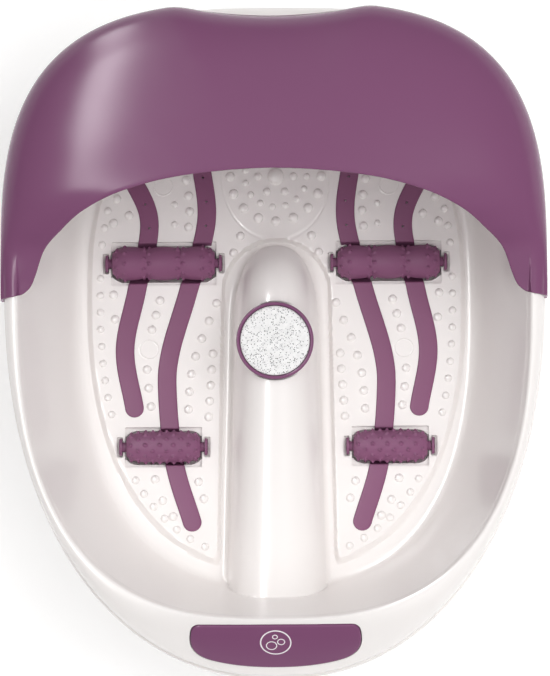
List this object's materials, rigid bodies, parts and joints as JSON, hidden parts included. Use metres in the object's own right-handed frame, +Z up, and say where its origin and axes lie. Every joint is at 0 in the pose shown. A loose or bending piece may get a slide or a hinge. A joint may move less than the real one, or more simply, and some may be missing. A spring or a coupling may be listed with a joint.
{
  "type": "foot spa basin",
  "caption": "Foot spa basin with a lift-off splash guard, massage rollers, air strips, a pumice attachment on a middle hump and a toe-touch button.",
  "frame": {"origin": "middle of the object's footprint, on the surface that its feet stand on", "axes": "+X the user's right, +Y the toe end under the splash guard, -Y the heel end with the button, +Z up"},
  "size_m": [0.3424, 0.4202, 0.19],
  "materials": {
    "white_plastic": "warm white, glossy",
    "purple_plastic": "dusty purple, glossy",
    "strip_plastic": "dusty purple, satin",
    "pumice": "white stone with grey specks, rough",
    "rubber": "dark grey",
    "grey_plastic": "mid grey",
    "black_plastic": "black",
    "terminal_plastic": "off-white",
    "steel": "zinc plated"
  },
  "bodies": {
    "base": {"tub": "white_plastic", "lower_housing": "white_plastic", "air_strip_inner_left": "strip_plastic", "air_strip_inner_right": "strip_plastic", "air_strip_outer_left": "strip_plastic", "air_strip_outer_right": "strip_plastic", "foot_rear_left": "rubber", "foot_rear_right": "rubber", "foot_front_left": "rubber", "foot_front_right": "rubber", "cable_gland": "rubber", "air_hose": "rubber", "blower_base": "grey_plastic", "blower_cover": "grey_plastic", "air_manifold": "grey_plastic", "switch_body": "black_plastic", "terminal_block": "terminal_plastic", "housing_screw_left_1": "steel", "housing_screw_left_2": "steel", "housing_screw_left_3": "steel", "housing_screw_right_1": "steel", "housing_screw_right_2": "steel", "housing_screw_right_3": "steel", "motor_can": "steel"},
    "splash_guard": {"splash_guard": "purple_plastic"},
    "pumice_attachment": {"pumice_holder": "purple_plastic", "pumice_stone": "pumice"},
    "button": {"bubble_button": "purple_plastic"},
    "plunger": {"switch_plunger": "grey_plastic"},
    "rotor": {"motor_shaft": "steel", "blower_impeller": "black_plastic"},
    "axle_toe_left": {"roller_axle_toe_left": "purple_plastic", "roller_cap_toe_left": "purple_plastic"},
    "barrel_toe_left": {"roller_barrel_toe_left": "strip_plastic"},
    "axle_toe_right": {"roller_axle_toe_right": "purple_plastic", "roller_cap_toe_right": "purple_plastic"},
    "barrel_toe_right": {"roller_barrel_toe_right": "strip_plastic"},
    "axle_heel_left": {"roller_axle_heel_left": "purple_plastic", "roller_cap_heel_left": "purple_plastic"},
    "barrel_heel_left": {"roller_barrel_heel_left": "strip_plastic"},
    "axle_heel_right": {"roller_axle_heel_right": "purple_plastic", "roller_cap_heel_right": "purple_plastic"},
    "barrel_heel_right": {"roller_barrel_heel_right": "strip_plastic"}
  },
  "joints": [
    {"name": "splash_guard_lift", "type": "slide", "parent": "base", "child": "splash_guard", "axis": [0, 0, 1], "range_m": [0, 0.08]},
    {"name": "pumice_pull", "type": "slide", "parent": "base", "child": "pumice_attachment", "axis": [0, -0.1564, 0.9877], "range_m": [0, 0.04]},
    {"name": "button_press", "type": "slide", "parent": "base", "child": "button", "axis": [0, 0.7399, -0.6727], "range_m": [0, 0.0022], "stiffness_N_per_m": 500, "springref_m": -0.001},
    {"name": "plunger_press", "type": "slide", "parent": "base", "child": "plunger", "axis": [0, 0.7399, -0.6727], "range_m": [0, 0.0022], "stiffness_N_per_m": 100},
    {"name": "rotor_spin", "type": "hinge", "parent": "base", "child": "rotor", "pos_m": [0, 0, 0.03], "axis": [0, 0, 1], "continuous": true},
    {"name": "roller_toe_left_lift", "type": "slide", "parent": "base", "child": "axle_toe_left", "axis": [0, 0, 1], "range_m": [0, 0.05]},
    {"name": "roller_toe_left_spin", "type": "hinge", "parent": "axle_toe_left", "child": "barrel_toe_left", "pos_m": [-0.0726, 0.0622, 0.0465], "axis": [1, 0, 0], "continuous": true},
    {"name": "roller_toe_right_lift", "type": "slide", "parent": "base", "child": "axle_toe_right", "axis": [0, 0, 1], "range_m": [0, 0.05]},
    {"name": "roller_toe_right_spin", "type": "hinge", "parent": "axle_toe_right", "child": "barrel_toe_right", "pos_m": [0.0726, 0.0622, 0.0465], "axis": [1, 0, 0], "continuous": true},
    {"name": "roller_heel_left_lift", "type": "slide", "parent": "base", "child": "axle_heel_left", "axis": [0, 0, 1], "range_m": [0, 0.05]},
    {"name": "roller_heel_left_spin", "type": "hinge", "parent": "axle_heel_left", "child": "barrel_heel_left", "pos_m": [-0.0728, -0.0574, 0.0465], "axis": [1, 0, 0], "continuous": true},
    {"name": "roller_heel_right_lift", "type": "slide", "parent": "base", "child": "axle_heel_right", "axis": [0, 0, 1], "range_m": [0, 0.05]},
    {"name": "roller_heel_right_spin", "type": "hinge", "parent": "axle_heel_right", "child": "barrel_heel_right", "pos_m": [0.0728, -0.0574, 0.0465], "axis": [1, 0, 0], "continuous": true}
  ],
  "couplings": [
    {"joint": "plunger_press", "follows": "button_press", "ratio": 1}
  ]
}
